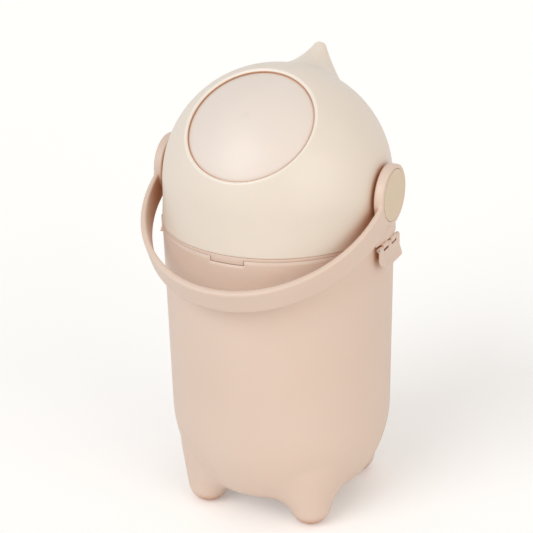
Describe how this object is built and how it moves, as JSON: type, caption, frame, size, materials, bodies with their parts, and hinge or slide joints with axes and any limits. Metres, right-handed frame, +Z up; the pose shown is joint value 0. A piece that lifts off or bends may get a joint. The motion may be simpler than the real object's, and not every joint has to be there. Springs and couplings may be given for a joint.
{
  "type": "nappy bin",
  "caption": "Footed nappy bin with a domed lid, a ball-shaped tipping drum worked by the carrying handle, a lift-out bag ring and side latches.",
  "frame": {"origin": "on the axis of the bucket, at floor level", "axes": "+Z up, the round opening and the resting handle face -Y, the handle's hubs lie on +X and -X"},
  "size_m": [0.2752, 0.2922, 0.5086],
  "materials": {
    "blush_plastic": "satin",
    "cream_plastic": "satin",
    "drum_plastic": "satin",
    "beige_plastic": "satin",
    "bush_plastic": "satin",
    "seal_rubber": "matte",
    "steel": "satin"
  },
  "bodies": {
    "bucket": {"bucket": "blush_plastic"},
    "bag_ring": {"bag_ring": "blush_plastic"},
    "lid": {"lid_shell": "cream_plastic", "lid_base": "cream_plastic", "lid_seal": "seal_rubber", "opening_seal": "seal_rubber", "pivot_bush_left": "bush_plastic", "pivot_bush_right": "bush_plastic", "latch_pin_left": "steel", "latch_pin_right": "steel"},
    "drum": {"drum_shell": "drum_plastic", "drum_mouth_shell": "drum_plastic", "drum_cup": "drum_plastic", "drum_screws": "steel", "handle": "blush_plastic", "hub_cap_left": "beige_plastic", "hub_cap_right": "beige_plastic", "hub_screw_left": "steel", "hub_screw_right": "steel"},
    "latch_left": {"latch_left": "blush_plastic"},
    "latch_right": {"latch_right": "blush_plastic"}
  },
  "joints": [
    {"name": "ring_lift", "type": "slide", "parent": "bucket", "child": "bag_ring", "axis": [0, 0, 1], "range_m": [0, 0.12]},
    {"name": "lid_lift", "type": "slide", "parent": "bag_ring", "child": "lid", "axis": [0, 0, 1], "range_m": [0, 0.2]},
    {"name": "handle_turn", "type": "hinge", "parent": "lid", "child": "drum", "pos_m": [0, 0, 0.3826], "axis": [-1, 0, 0], "range_deg": [0, 180]},
    {"name": "latch_left_swing", "type": "hinge", "parent": "lid", "child": "latch_left", "pos_m": [-0.13045, 0, 0.3275], "axis": [0, 1, 0], "range_deg": [0, 90]},
    {"name": "latch_right_swing", "type": "hinge", "parent": "lid", "child": "latch_right", "pos_m": [0.13045, 0, 0.3275], "axis": [0, -1, 0], "range_deg": [0, 90]}
  ]
}
